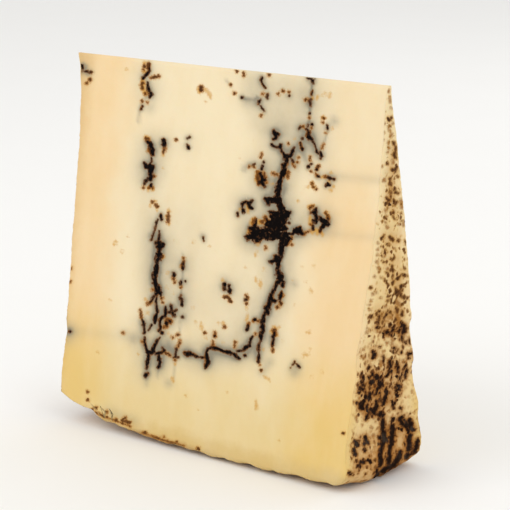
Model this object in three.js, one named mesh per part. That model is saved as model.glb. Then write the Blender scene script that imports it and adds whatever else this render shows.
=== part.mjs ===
// A wedge of truffle sheep cheese, cut from a wheel and stood on the wheel's rim, in millimetres, +Z up.
// X runs along the wheel's axis, the thin edge of the wedge is at the top, and the cut faces look to -Y and +Y.
import * as THREE from "three";
import { mergeVertices } from "three/addons/utils/BufferGeometryUtils.js";
import { ImprovedNoise } from "three/addons/math/ImprovedNoise.js";

// Driving dimensions of the wheel
const WHEEL_RADIUS = 115.5;
const RIM_BELLY = 2.2;
const RIM_BELLY_SHIFT = 10;
const RIGHT_FACE_X = 60.8;
const RIGHT_FACE_DOME = 1.8;
const RIGHT_DOME_RADIUS = 40;
const RIGHT_DOME_SPREAD = 30;
const LEFT_FACE_X = -54.6;
const LEFT_FACE_TAPER = 2.6;
const LEFT_TIP_FLARE = 3.3;
const LEFT_FLARE_LENGTH = 12;

// Driving dimensions of the wedge
const RIM_THICKNESS = 38;
const TIP_THICKNESS = 1.8;
const CUT_EDGE_BEVEL = 0.8;
const RESTING_FLAT_DEPTH = 1;

// Relief of the rind and of the cut faces
const RIB_PITCH = 9.5;
const RIB_HEIGHT = 0.35;
const RIB_START_X = -5;
const GROOVE_PITCH = 4.8;
const GROOVE_DEPTH = 0.5;
const GROOVE_PATCH = { size: 16, none: -0.2, full: 0.3 };
const KNOB_SIZE = 7;
const KNOB_HEIGHT = 0.75;
const CUT_WAVE_SIZE = 26;
const CUT_WAVE_HEIGHT = 0.35;

// How finely the surface is divided
const FINE_STEP = 2.2;

// Colour and finish of the paste
const PASTE_COLOUR = 0xeed9a6;
const PASTE_ROUGHNESS = 0.55;

// How far the rounding of the rim's two corners reaches in along the axis and in from the rim, and how full
// it is: 1 is a straight chamfer and 2 an even round
const RIGHT_CORNER = { reachX: 5, reachR: 4, fullness: 2 };
const LEFT_CORNER = { reachX: 32, reachR: 5, fullness: 1.5 };

// Soft hollows pressed into a cut face: place along X, distance from the tip, reach in both, and depth
const FRONT_HOLLOWS = [
  { x: 7, r: 7.5, reachX: 3.2, reachR: 1.8, depth: 1.1 },
  { x: 55, r: 26.5, reachX: 14, reachR: 2, depth: 0.45 },
  { x: 52, r: 43, reachX: 16, reachR: 2.2, depth: 0.4 },
  { x: -56, r: 88.5, reachX: 5, reachR: 3, depth: 0.9 },
];
const BACK_HOLLOWS = [
  { x: -22, r: 12, reachX: 3.5, reachR: 2, depth: 0.9 },
  { x: 48, r: 61, reachX: 15, reachR: 2.2, depth: 0.45 },
  { x: -51, r: 36, reachX: 12, reachR: 2, depth: 0.4 },
];

// Notches in the flat rind faces: side of the wheel, distance from the tip, reach and depth
const RIND_NOTCHES = [
  { side: 1, r: 26, reach: 1.8, depth: 0.8 },
  { side: 1, r: 43, reach: 2.4, depth: 0.9 },
  { side: 1, r: 74, reach: 6, depth: 0.9 },
  { side: 1, r: 100, reach: 4, depth: 0.5 },
  { side: -1, r: 87, reach: 7, depth: 1.5 },
];

// Lumps and chips on the rind, near the rim's corners and along the back edge: place, reach and height
const RIND_LUMPS = [
  { x: 57, y: -8, r: 113, reach: 9, height: 0.9 },
  { x: 57, y: 7, r: 113, reach: 10, height: 1.3 },
  { x: 57, y: 18, r: 111, reach: 6, height: 1.1 },
  { x: 60, y: 16, r: 97, reach: 5, height: 1.2 },
  { x: 60, y: 13, r: 79, reach: 5, height: 1.3 },
  { x: 61, y: 11, r: 69, reach: 4, height: 0.8 },
  { x: 61, y: 9, r: 57, reach: 5, height: 0.7 },
  { x: 62, y: 5, r: 33, reach: 6, height: -0.8 },
  { x: -45, y: -18, r: 111, reach: 4, height: -0.9 },
];

const lerp = THREE.MathUtils.lerp;
const clamp = THREE.MathUtils.clamp;
const smoothstep = THREE.MathUtils.smoothstep;
const noise = new ImprovedNoise();

// A bell-shaped bump that is 1 in the middle and fades out over its reach.
function bell(distance, reach) {
  return Math.exp(-((distance / reach) ** 2));
}

// The wheel's radial section, from the axis outward
function rightFace(r) {
  return RIGHT_FACE_X + RIGHT_FACE_DOME * bell(r - RIGHT_DOME_RADIUS, RIGHT_DOME_SPREAD);
}

function leftFace(r) {
  const taper = LEFT_FACE_TAPER * (1 - r / WHEEL_RADIUS);
  return LEFT_FACE_X - taper - LEFT_TIP_FLARE * Math.exp(-r / LEFT_FLARE_LENGTH);
}

function rimRadius(x) {
  const reach = (RIGHT_FACE_X - LEFT_FACE_X) / 2;
  return WHEEL_RADIUS - RIM_BELLY * ((x - RIM_BELLY_SHIFT) / reach) ** 2;
}

// A point of the section for u from the left face to the right one and v from the axis to the rim.
// Points near the rim's corners are drawn in so that the corners are round.
function section(u, v) {
  const depth = v * WHEEL_RADIUS;
  const x = lerp(leftFace(depth), rightFace(depth), u);
  const r = v * rimRadius(x);
  const { reachX, reachR, fullness } = u > 0.5 ? RIGHT_CORNER : LEFT_CORNER;
  const wall = u > 0.5 ? rightFace(r) : leftFace(r);
  const side = Math.sign(wall);
  const intoWall = Math.max(0, 1 + (side * (x - wall)) / reachX);
  const intoRim = Math.max(0, 1 + (r - rimRadius(x)) / reachR);
  const square = Math.max(intoWall, intoRim);
  const round = (intoWall ** fullness + intoRim ** fullness) ** (1 / fullness);
  const pull = round > 0 ? 1 - square / round : 0;
  return { x: x - side * intoWall * reachX * pull, r: r - intoRim * reachR * pull };
}

function halfThickness(r) {
  return lerp(TIP_THICKNESS, RIM_THICKNESS, r / WHEEL_RADIUS) / 2;
}

// A point of the wedge: across runs from -1 on the front cut face to 1 on the back one.
function place({ x, r }, across, inset = 0) {
  const y = across * (halfThickness(r) - inset);
  const turned = Math.min(1, Math.abs(y) / Math.max(r, TIP_THICKNESS));
  return new THREE.Vector3(x, y, -r * Math.sqrt(1 - turned * turned));
}

// Height of the rind's relief over its smooth surface
function rindRelief({ x, r }, y, outwardX, outwardR) {
  const knobs = KNOB_HEIGHT * noise.noise(x / KNOB_SIZE, y / KNOB_SIZE, r / KNOB_SIZE);
  const ribs = RIB_HEIGHT * Math.cos((2 * Math.PI * (x - RIM_BELLY_SHIFT)) / RIB_PITCH);
  const onRim = Math.max(0, outwardR) * smoothstep(x, RIB_START_X, RIB_START_X + RIB_PITCH);
  const { size, none, full } = GROOVE_PATCH;
  const patch = smoothstep(noise.noise(x / size, y / size, r / size), none, full);
  const groove = Math.max(0, Math.cos((2 * Math.PI * y) / GROOVE_PITCH));
  const onFace = Math.abs(outwardX) * smoothstep(r, WHEEL_RADIUS / 4, WHEEL_RADIUS / 2);
  let height = knobs + ribs * onRim - GROOVE_DEPTH * groove * patch * onFace;
  for (const notch of RIND_NOTCHES) {
    const facing = Math.max(0, outwardX * notch.side);
    height -= notch.depth * facing * bell(r - notch.r, notch.reach);
  }
  for (const lump of RIND_LUMPS) {
    const far = Math.hypot(x - lump.x, y - lump.y, r - lump.r);
    height += lump.height * bell(far, lump.reach);
  }
  return height * smoothstep(r, 0, KNOB_SIZE * 2);
}

// Height of a cut face's relief: a slow wave left by the knife, and the soft hollows
function cutRelief({ x, r }, across) {
  const size = CUT_WAVE_SIZE;
  let height = CUT_WAVE_HEIGHT * noise.noise(x / size, across * size, r / size);
  for (const hollow of across < 0 ? FRONT_HOLLOWS : BACK_HOLLOWS) {
    const far = Math.hypot((x - hollow.x) / hollow.reachX, (r - hollow.r) / hollow.reachR);
    height -= hollow.depth * bell(far, 1);
  }
  return height * smoothstep(r, 0, TIP_THICKNESS * 2);
}

// The closed surface, gathered triangle by triangle
const corners = [];

function triangle(a, b, c) {
  for (const p of [a, b, c]) corners.push(p.x, p.y, p.z);
}

// Joins two rows of points that may have different numbers of points.
function zip(rowA, rowB) {
  let i = 0;
  let j = 0;
  while (i < rowA.length - 1 || j < rowB.length - 1) {
    const nextA = (i + 1) / (rowA.length - 1);
    const nextB = (j + 1) / (rowB.length - 1);
    const stepA = j === rowB.length - 1 || (i < rowA.length - 1 && nextA <= nextB);
    if (stepA) triangle(rowA[i], rowB[j], rowA[++i]);
    else triangle(rowA[i], rowB[j], rowB[++j]);
  }
}

// Numbers of coarse cells on a cut face; each one is two fine steps wide, so that borders split evenly
const cellsX = Math.round((RIGHT_FACE_X - LEFT_FACE_X) / FINE_STEP / 2);
const cellsR = Math.round(WHEEL_RADIUS / FINE_STEP / 2);

// The section's border as a loop of fine steps: down the right face, along the rim, up the left face, along the tip
function borderLoop() {
  const loop = [];
  const nx = cellsX * 2;
  const nr = cellsR * 2;
  for (let i = 0; i < nr; i++) loop.push([1, i / nr]);
  for (let i = 0; i < nx; i++) loop.push([1 - i / nx, 1]);
  for (let i = 0; i < nr; i++) loop.push([0, 1 - i / nr]);
  for (let i = 0; i < nx; i++) loop.push([i / nx, 0]);
  return loop;
}

// A point on a cut face, whose border lies one bevel inside the section's
function onCutFace(u, v, across) {
  const marginU = CUT_EDGE_BEVEL / (RIGHT_FACE_X - LEFT_FACE_X);
  const marginV = CUT_EDGE_BEVEL / WHEEL_RADIUS;
  const at = section(lerp(marginU, 1 - marginU, u), lerp(marginV, 1 - marginV, v));
  const p = place(at, across);
  p.y += across * cutRelief(at, across);
  return p;
}

// A row of the rind's skin, from the front bevel to the back one
function skinRow(k, loop) {
  const at = section(...loop[k]);
  const before = section(...loop[(k + loop.length - 1) % loop.length]);
  const after = section(...loop[(k + 1) % loop.length]);
  const outward = new THREE.Vector2(after.r - before.r, before.x - after.x).normalize();
  const bevel = Math.min(CUT_EDGE_BEVEL, halfThickness(at.r) / 2);
  const count = Math.max(1, Math.round((2 * (halfThickness(at.r) - bevel)) / FINE_STEP));
  const row = [];
  for (let i = 0; i <= count; i++) {
    const across = lerp(-1, 1, i / count);
    const y = across * (halfThickness(at.r) - bevel);
    const height = rindRelief(at, y, outward.x, outward.y);
    const raised = { x: at.x + outward.x * height, r: at.r + outward.y * height };
    const p = place(raised, across, bevel);
    row.push(p);
  }
  return row;
}

// One cell of a cut face; a cell on the border has extra points and is fanned from its middle.
function cutCell(i, j, across) {
  const at = (a, b) => onCutFace(a / (cellsX * 2), b / (cellsR * 2), across);
  const x = i * 2;
  const r = j * 2;
  const ring = [at(x, r)];
  if (j === 0) ring.push(at(x + 1, r));
  ring.push(at(x + 2, r));
  if (i === cellsX - 1) ring.push(at(x + 2, r + 1));
  ring.push(at(x + 2, r + 2));
  if (j === cellsR - 1) ring.push(at(x + 1, r + 2));
  ring.push(at(x, r + 2));
  if (i === 0) ring.push(at(x, r + 1));
  if (across > 0) ring.reverse();
  if (ring.length === 4) {
    triangle(ring[0], ring[2], ring[1]);
    triangle(ring[0], ring[3], ring[2]);
    return;
  }
  const middle = at(x + 1, r + 1);
  ring.forEach((p, n) => triangle(middle, ring[(n + 1) % ring.length], p));
}

function wedgeGeometry() {
  const loop = borderLoop();
  const rows = loop.map((_, k) => skinRow(k, loop));
  loop.forEach(([u, v], k) => {
    const next = (k + 1) % loop.length;
    const [un, vn] = loop[next];
    zip(rows[k], rows[next]);
    zip([onCutFace(u, v, -1), rows[k][0]], [onCutFace(un, vn, -1), rows[next][0]]);
    zip([rows[k].at(-1), onCutFace(u, v, 1)], [rows[next].at(-1), onCutFace(un, vn, 1)]);
  });
  for (let i = 0; i < cellsX; i++) {
    for (let j = 0; j < cellsR; j++) {
      cutCell(i, j, -1);
      cutCell(i, j, 1);
    }
  }
  const skin = new THREE.BufferGeometry();
  skin.setAttribute("position", new THREE.Float32BufferAttribute(corners, 3));
  return mergeVertices(skin, 1e-3);
}

// Flattens the lowest part of the rim, and puts the origin at the middle of the base.
function restOnRim(geometry) {
  geometry.computeBoundingBox();
  const { min, max } = geometry.boundingBox;
  const floor = min.z + RESTING_FLAT_DEPTH;
  const spots = geometry.getAttribute("position");
  for (let i = 0; i < spots.count; i++) spots.setZ(i, clamp(spots.getZ(i), floor, max.z));
  geometry.translate(-(min.x + max.x) / 2, -(min.y + max.y) / 2, -floor);
  geometry.computeVertexNormals();
  return geometry;
}

const paste = new THREE.MeshStandardMaterial({
  color: PASTE_COLOUR,
  roughness: PASTE_ROUGHNESS,
  metalness: 0,
});

const wedge = new THREE.Mesh(restOnRim(wedgeGeometry()), paste);
wedge.name = "cheese_wedge";

const cheese = new THREE.Group();
cheese.add(wedge);

export default cheese;
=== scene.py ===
"""A wedge of truffle sheep cheese: cream paste with dark truffle veins, and a buff rind speckled dark."""

import math

import bpy
import numpy as np
from bpy.props import FloatProperty, FloatVectorProperty, PointerProperty
from bpy.types import Operator, Panel, PropertyGroup
from mathutils import Matrix, Vector
from mathutils.kdtree import KDTree


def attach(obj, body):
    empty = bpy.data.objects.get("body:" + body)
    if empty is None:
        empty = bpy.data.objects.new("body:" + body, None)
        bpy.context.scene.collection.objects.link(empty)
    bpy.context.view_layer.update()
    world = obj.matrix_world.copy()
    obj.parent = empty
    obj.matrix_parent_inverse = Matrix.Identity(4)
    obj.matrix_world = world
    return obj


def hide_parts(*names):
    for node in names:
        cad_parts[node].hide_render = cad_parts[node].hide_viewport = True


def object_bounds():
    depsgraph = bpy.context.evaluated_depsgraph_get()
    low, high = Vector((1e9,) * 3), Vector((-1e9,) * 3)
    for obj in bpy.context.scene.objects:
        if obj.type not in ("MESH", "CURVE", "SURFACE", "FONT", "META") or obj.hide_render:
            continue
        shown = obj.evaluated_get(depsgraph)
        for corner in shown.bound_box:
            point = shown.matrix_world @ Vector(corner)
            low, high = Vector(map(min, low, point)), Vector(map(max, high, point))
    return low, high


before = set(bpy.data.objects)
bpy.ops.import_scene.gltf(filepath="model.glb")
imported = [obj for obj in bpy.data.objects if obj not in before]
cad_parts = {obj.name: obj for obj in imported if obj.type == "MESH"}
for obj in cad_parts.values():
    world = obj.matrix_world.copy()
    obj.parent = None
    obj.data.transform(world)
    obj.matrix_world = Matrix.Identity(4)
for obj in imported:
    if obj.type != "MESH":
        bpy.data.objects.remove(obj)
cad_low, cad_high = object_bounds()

bl_info = {
    "name": "Truffle cheese wedge",
    "version": (1, 0, 0),
    "blender": (4, 5, 0),
    "location": "View3D > Sidebar > Cheese",
    "description": "Dresses a plain solid wedge as sheep cheese with truffle veins, on a pale studio floor",
    "category": "Add Mesh",
}

MM = 0.001
CAD_NODE = "cheese_wedge"

# The view of the photograph, fitted to the wedge's outline
PHOTO_SIDE = 510
CAMERA_AZIMUTH = math.radians(39.969)
CAMERA_ELEVATION = math.radians(12.586)
CAMERA_DISTANCE = 618.65 * MM
CAMERA_ASIDE = 8.24 * MM
CAMERA_RAISED = 56.99 * MM
FOCAL_PIXELS = 2000
SENSOR_WIDTH = 36

# One photograph pixel on the front cut face
PIXEL = 0.31 * MM

# A distance that stands for nothing near
FAR = 12 * MM

# Which way a surface faces, as the least share of its normal: a side of the wedge, and squarely a cut face
FACING = 0.35
CUT_FACING = 0.9


def strokes(*rows):
    """Chains of points, from rows that give each point's place across and down and its half width in turn."""
    return tuple(tuple(zip(row[::3], row[1::3], row[2::3])) for row in rows)


# Truffle on the front cut face, in pixels of the photograph. A row of one point is a dot.
LEFT_VEIN_TOP = strokes(
    (149.2, 63.5, 0.7, 149, 67, 0.9, 149.8, 70.5, 0.8), (149.5, 71, 1, 146, 75, 1.6, 142.5, 78.8, 1.5),
    (147.6, 82.5, 0.9, 147.8, 87, 1.3, 149.5, 91, 1.8, 151, 94.8, 2.1, 149.8, 97.2, 1.3),
    (142.2, 106, 0.8, 141.2, 109.4, 0.9),
    (147, 141.6, 1.6, 150.2, 144, 2.5, 151, 148, 2.7, 152.4, 151.5, 2.6, 153, 155, 1.4),
    (151.6, 158, 0.7, 151.4, 162, 0.8), (163.6, 140.6, 1.8, 164.2, 143.5, 2.3, 164, 146, 1.6),
    (144.2, 163.4, 1.2, 147, 166.6, 2.4, 149.6, 167, 3.2, 151.6, 167.6, 2.8),
    (149.4, 163.8, 1.4, 150.4, 168, 3.2, 150.3, 172, 2.5, 150.2, 176, 2.3, 150, 179, 2.4),
    (148.6, 178.6, 2, 146, 181, 1.5, 144.4, 184, 1.1), (151, 184.6, 1.3, 151.4, 187, 1.1),
    (189.4, 137.2, 1.1, 187.6, 138.6, 1.3), (186.8, 144.4, 0.9, 188.4, 148, 1.4),
    (160.6, 214.6, 1.1, 161, 217, 1.4, 161.8, 219.6, 1),
    (157.6, 219.6, 0.9, 156.8, 222.6, 1.1, 155.4, 227, 0.8, 154.2, 231.6, 0.9, 151.2, 240, 1.3),
)
LEFT_VEIN_MAIN = strokes(
    (159, 231.6, 1.1, 158.8, 235, 1.2, 158.4, 239.6, 1.6),
    (155.6, 242.6, 1.5, 159, 242.8, 2.4, 163.2, 243.8, 1.7), (157.6, 246.4, 2.2, 160.2, 246, 3.2),
    (159.4, 248.6, 2.4, 159.2, 251, 1.9, 158.6, 254, 3, 158.2, 257.4, 3.3, 157.4, 260, 2.6),
    (157, 261, 2.2, 156.6, 264, 1.8, 156, 267.4, 2.6, 155.8, 271, 3.2, 154.6, 275.4, 2.8),
    (154.6, 275.4, 2.8, 154.7, 279, 2.3, 155.6, 283, 2.5, 156.6, 286.6, 2.6),
    (156.6, 286.6, 2.6, 158.4, 290, 2.8, 158.8, 293, 3, 160.4, 294.8, 1.4),
    (156, 294, 1.7, 153.8, 297, 1.5, 151.8, 300, 1, 150.4, 302, 0.9),
    (156.6, 296, 1.2, 156, 302, 1.1, 156.6, 307, 1.2, 157.4, 311.4, 1.5),
    (156.6, 313.6, 1.1, 155.4, 316.6, 1.8, 154.8, 320, 2, 154.8, 322.8, 1.1),
    (151.6, 325, 1, 150, 327.6, 1.3, 148.4, 330.2, 0.9),
    (165.2, 307, 1.1, 165.6, 311.4, 2, 164.8, 315.6, 2.3, 161.6, 318, 1.7, 160, 320.6, 1.4),
    (160, 320.6, 1.4, 159.4, 324, 1, 160.4, 327.2, 1.9, 158.6, 330.6, 1.1),
    (166, 312.4, 1.3, 169.6, 312.2, 1.4), (171, 305.6, 1.8, 171, 309, 1.2, 171.6, 312, 2, 173.8, 314.8, 2.2),
    (174.4, 311.6, 1.2, 176.6, 309.8, 0.9), (166.4, 323.2, 2.1, 166.4, 325.6, 1.4),
    (169, 320.4, 1.6, 170, 322.2, 1.5), (162.2, 333, 1.9),
    (159.8, 337.4, 0.9, 157.4, 340, 1.5, 155.6, 343.4, 1.6, 154, 347, 1.6, 152.4, 350.4, 2),
    (142, 319.6, 1, 142.8, 321.4, 1.4, 143.6, 324.6, 1.7, 144, 328, 1, 144.2, 333.2, 1.6),
    (144.6, 337, 0.9, 144, 342, 1.6, 145.4, 346.6, 1.2, 147, 350.4, 1.6),
)
MIDDLE_SPECKS = strokes(
    (173.6, 273, 1.3, 173.6, 275.6, 1.7), (183.8, 261, 0.9, 182.6, 264.2, 1.4, 182.9, 269, 1.1),
    (181, 282.2, 1.4, 180.6, 284.6, 1), (184.8, 281.4, 1),
    (181, 295.4, 1, 180.2, 297, 1.2, 181.6, 301, 1.8, 182, 304.6, 1.6), (182.7, 317, 1.6),
    (176.4, 349, 1.4, 175.6, 353, 1.1, 175.2, 357, 1.6), (173.6, 357.4, 0.9, 178.4, 357.4, 0.9),
    (162, 347.6, 0.9, 164.2, 350.4, 1.2, 161.6, 352.4, 1.2), (203, 237, 0.5, 204, 241, 0.4),
    (242.8, 211.4, 2, 242.2, 207, 1.4, 242.6, 203.4, 1.7, 246, 201.8, 1.4, 249, 204, 1.9),
    (249, 204, 1.9, 249.4, 207, 1.7, 252.2, 208.6, 1.5), (250.6, 202.6, 1.4, 252.4, 200.6, 1.5),
    (237.4, 212.6, 1.1, 237.4, 215.6, 1.1), (224.6, 284.6, 1.9, 224.2, 287, 1.5, 224.4, 289.4, 1.7),
    (228.8, 285.4, 1.5, 229, 287.6, 1.1, 229.8, 291, 1.9, 230, 293.2, 1), (246.2, 299.8, 1.4),
    (248, 325, 1.1, 247.4, 327.4, 1.4, 246.8, 330, 1.4), (254.6, 319.6, 1.8), (214.8, 335.8, 1.1),
    (274.2, 332.8, 1.3, 273, 336.4, 1.8, 273.4, 339, 1.4, 272.8, 344, 1.4, 272.4, 346.4, 0.9),
)
BOTTOM_CRACK = strokes(
    (147.6, 351.6, 2, 150.6, 352.4, 2.2, 153.6, 351.6, 1.9),
    (148.6, 354, 1.8, 148.2, 358.6, 1.7, 147.6, 362.4, 1.7, 146.6, 365, 1.4, 146.4, 369, 0.9),
    (148, 373.4, 1.4, 146, 375, 2, 145.4, 377, 1), (156.4, 354, 1.3, 159, 352.8, 1.6, 161.6, 352.6, 1.3),
    (158.4, 356.6, 2, 159.2, 359.4, 2.1, 160, 362, 1.7, 158.8, 365, 1.4, 158.4, 367.6, 1.6),
    (184.6, 352.6, 1.3, 186.6, 354, 2.4, 190, 354, 2, 193.6, 355, 1.5, 197, 356.4, 1.2),
    (197, 356.4, 1.2, 201, 357.6, 1.1, 204, 357.4, 1.3),
    (205.6, 351.6, 1.5, 206.4, 354, 2, 207, 358, 2.7, 207.4, 362, 2.8, 206.6, 365.4, 2, 205.2, 368.4, 0.9),
    (206, 351.6, 1.8, 208.6, 348.6, 1.9, 212, 347.6, 1.8, 216, 348.4, 1.7, 219.4, 349.4, 1.3),
    (219.4, 349.4, 1.3, 222.6, 351, 1.6, 226, 352, 1.7, 230, 352.6, 1.8, 233.6, 354.2, 1.7),
    (233.6, 354.2, 1.7, 236.4, 357, 1.9, 239.4, 358.8, 1.3),
    (237, 351, 0.9, 240, 351, 1, 243, 350.4, 1.5, 245.6, 347.6, 2.2, 249, 345.6, 1.9),
    (249, 345.6, 1.9, 250, 342, 1.3, 251, 338.6, 1.2, 252.6, 336.4, 0.8), (244.8, 355.2, 1.7),
)
BIG_VEIN_TOP = strokes(
    (273.4, 131, 1.6, 275.4, 134, 2.7, 278.4, 134.6, 1.8),
    (275.4, 134, 2.7, 275.4, 137.4, 2.3, 273.6, 139, 1.3),
    (271.8, 144.4, 1.2, 272.8, 146, 1.1, 275, 147, 1, 278, 147, 1, 280.2, 146.6, 1.7),
    (280.6, 144.8, 1.1, 280.4, 148, 1.3, 281.6, 151.4, 1.4, 283.6, 153.4, 1.4, 286, 156.6, 2.5),
    (294, 147.4, 0.9, 293, 149.2, 1.4, 291.6, 152.6, 1.8, 290.4, 156, 2.1, 287, 157, 2.7),
    (286.6, 156.4, 2.8, 286, 160, 2.8, 285, 164, 2.5, 284.4, 167.6, 2.5, 283, 171.4, 3.2),
    (283, 171.4, 3.2, 281.4, 175, 2.8, 280, 179, 2.2, 279, 184, 2.4, 278.5, 190, 2.6, 277.5, 196, 2.6),
    (292, 159.4, 0.9, 293.2, 162, 1), (261.4, 168.8, 1.6, 262.6, 166.4, 1.2),
    (259.6, 173.4, 2.2, 261, 176.6, 2.4, 262, 180.6, 2, 265.4, 180, 1.2),
    (260, 182, 2.4, 262, 183.8, 2.2, 264.6, 186.4, 1.3), (254.8, 164, 1.2, 252, 165, 0.9),
    (263.6, 162.2, 1.1),
)
BIG_BLOB = strokes(
    (278.5, 186, 2.6, 277.6, 195, 2.7, 278, 200, 3.2, 280, 205.5, 3.3, 280.5, 209, 4),
    (264.8, 198.8, 1.5, 268.5, 199.6, 2.6, 273, 199.8, 3.2, 277, 200.5, 3.4),
    (267.5, 201, 2.6, 269, 205, 1.2),
    (270.2, 212.5, 1.8, 275, 213, 2.6, 282, 213.2, 4.2, 286.5, 213.6, 3.2, 290, 212.8, 1.4),
    (273.5, 216, 3.8, 280, 217, 5, 285.5, 217, 4),
    (266, 218.6, 1.4, 267.5, 223, 3, 272, 223, 4.4, 279, 222.5, 5.5, 284, 222.5, 3.5), (289, 223, 1.4),
    (272, 228.5, 5, 280, 228, 6, 283, 229, 4.6), (281.5, 236, 6.6, 284, 239, 5.6, 285, 242, 3.6),
    (277, 236, 4.4, 270, 236, 3.6, 263, 235.4, 4.2, 256, 236, 5.8, 250.5, 237, 4.2, 247.6, 236.6, 2.8),
    (264, 231.4, 3.6, 257, 230.8, 3, 252, 228.6, 2.8, 249.4, 227.6, 1.8),
    (256, 219.8, 1, 255.8, 223, 1.6, 254, 227, 2.8), (252, 227.6, 2.4, 258, 229.4, 2.4),
    (256, 240.8, 2.4, 258.6, 241.2, 1.8),
    (288.6, 233.6, 1.6, 293, 234, 1.6, 294.6, 230.8, 3, 297.5, 231, 4.4, 300.4, 232.2, 3, 303, 233.6, 1.4),
)
BIG_VEIN_BOTTOM = strokes(
    (281.4, 244, 3.2, 281.6, 248, 2.9, 280.8, 252, 2.9, 280.2, 255, 2.6),
    (275.2, 256, 1.5, 278, 258, 3.2, 277.4, 260.6, 3.6, 272.4, 261.8, 2, 269, 261.4, 1.1),
    (277.6, 263.6, 2.6, 277.8, 267, 1.8, 278.3, 270, 2.4, 278.8, 274, 3.2, 279.4, 277.6, 3.8),
    (279.4, 277.6, 3.8, 280.2, 280, 3.6, 283, 281.6, 1.8), (282.6, 283.6, 1.9, 282.4, 286.4, 1.4),
    (277, 282.6, 1.7, 276, 286, 1.7, 273.8, 290, 1.9, 271.8, 294, 1.9, 270.8, 298, 2.2),
    (270.8, 298, 2.2, 269.8, 302, 2.3, 268.2, 305, 2.5, 267, 309, 2.9),
    (281.4, 290.6, 0.9, 281, 293, 1.3, 280.4, 296, 2.2, 279.4, 298.6, 1.9),
    (271, 300, 1.8, 274.4, 301, 1.7, 277, 300.6, 1.1), (280, 301.4, 1, 280.6, 304, 1.2),
    (267.2, 309, 2.9, 267.2, 312.4, 2.7, 268, 314, 1.5),
    (264.8, 312.6, 1.9, 263.6, 317, 1.9, 262.6, 320.6, 2.8), (260.8, 322, 1.5, 264.6, 319.4, 1.5),
    (262.8, 325, 2.1, 262.6, 329, 2.3, 262.2, 332.6, 2.2, 261, 336, 2.4, 260.8, 338.6, 1.7, 260.6, 341, 0.9),
    (259.8, 342, 0.8, 258.6, 345.6, 1.3, 258.2, 349, 1.4, 258.4, 352, 1, 258.8, 355, 1.2, 258, 361.6, 1.5),
)
RIGHT_VEIN = strokes(
    (307.4, 78.2, 0.8, 310.6, 78.8, 1, 312.8, 80.4, 1.8, 312.8, 83, 1.4), (312.4, 90.6, 0.8, 311.6, 95, 0.7),
    (310.6, 99.4, 1.1, 309, 101, 1.2, 310.3, 103.6, 1.7, 310.4, 105.6, 1.1), (309.8, 113.4, 0.9),
    (312, 124.4, 1.4), (308.4, 124.4, 0.8, 307.6, 127, 0.9), (300.6, 127, 1.3, 298.8, 128.6, 0.9),
    (307, 129.4, 1.5, 308.6, 132.4, 2, 307.8, 136, 2.2, 309.8, 138.4, 2.4, 312, 139.6, 1.6),
    (302.4, 138.4, 1.3), (300.2, 143, 1, 300.6, 146, 1.2, 302.4, 148.8, 1.6),
    (312.6, 141.6, 1.2, 314.6, 144.4, 0.9, 315.6, 148, 0.9, 316.6, 151.4, 1.1, 318, 154, 0.7),
    (320.6, 152, 0.9, 321.2, 155.4, 2, 320.4, 158, 1.2), (327.2, 125.6, 1, 327.2, 128.4, 1.5),
    (308.4, 166.8, 1.7), (311.2, 164, 1), (316.3, 169.8, 1.4), (317.4, 176, 1.2, 319.4, 177.2, 1.1),
    (327.6, 177, 1.3, 329.6, 178.4, 1.7, 332, 178.8, 1.2, 334, 179.2, 1), (328, 184.8, 2, 330, 185.4, 1.1),
    (326, 186.4, 1.1),
    (315.8, 208.4, 1.2, 315.2, 212, 2.2, 314.6, 213.6, 2.3, 316.4, 217, 1.6, 316, 220, 2.6, 316, 223.2, 1.2),
    (313.6, 220.6, 2), (310.8, 213, 1.1, 312.8, 212.4, 1.4),
    (319.8, 217, 1.1, 322, 220.6, 3, 325.6, 222, 3.4, 327.6, 224.6, 2), (327.6, 219, 1.6),
    (323, 226, 2.5, 321.4, 227.8, 1.5, 319.6, 232.6, 0.8), (313, 226.4, 1.3, 313, 229, 1.4),
)
TOP_DASHES = strokes(
    (262.2, 77.6, 1.3, 261.2, 80, 1.3, 261.6, 82.6, 0.8, 263.6, 85.6, 0.9, 265.6, 88, 0.8),
    (267.6, 94.4, 1.3, 267, 98, 1.1), (260.4, 99.8, 0.9, 259, 101.4, 1.5, 258.4, 103.8, 1.3),
    (260.6, 106, 0.8, 262.4, 108.8, 0.8, 264.2, 111.2, 0.6), (289.2, 95.6, 1.3), (241.8, 97.4, 1.4),
    (81.9, 65.6, 1.4, 82.2, 68, 1.6), (80.9, 71.5, 1.5), (84, 71.4, 0.6, 91, 72, 1.4), (69.7, 331.6, 1.5),
    (294.8, 361.4, 0.6, 294.4, 363.4, 0.9, 292.2, 364.8, 0.6), (290.4, 368, 0.4),
    (296.4, 364, 0.6, 298, 365.6, 1.1, 299.6, 367.4, 0.9),
)
TRUFFLE_FRONT = (
    *LEFT_VEIN_TOP, *LEFT_VEIN_MAIN, *MIDDLE_SPECKS, *BOTTOM_CRACK,
    *BIG_VEIN_TOP, *BIG_BLOB, *BIG_VEIN_BOTTOM, *RIGHT_VEIN, *TOP_DASHES,
)

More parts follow.
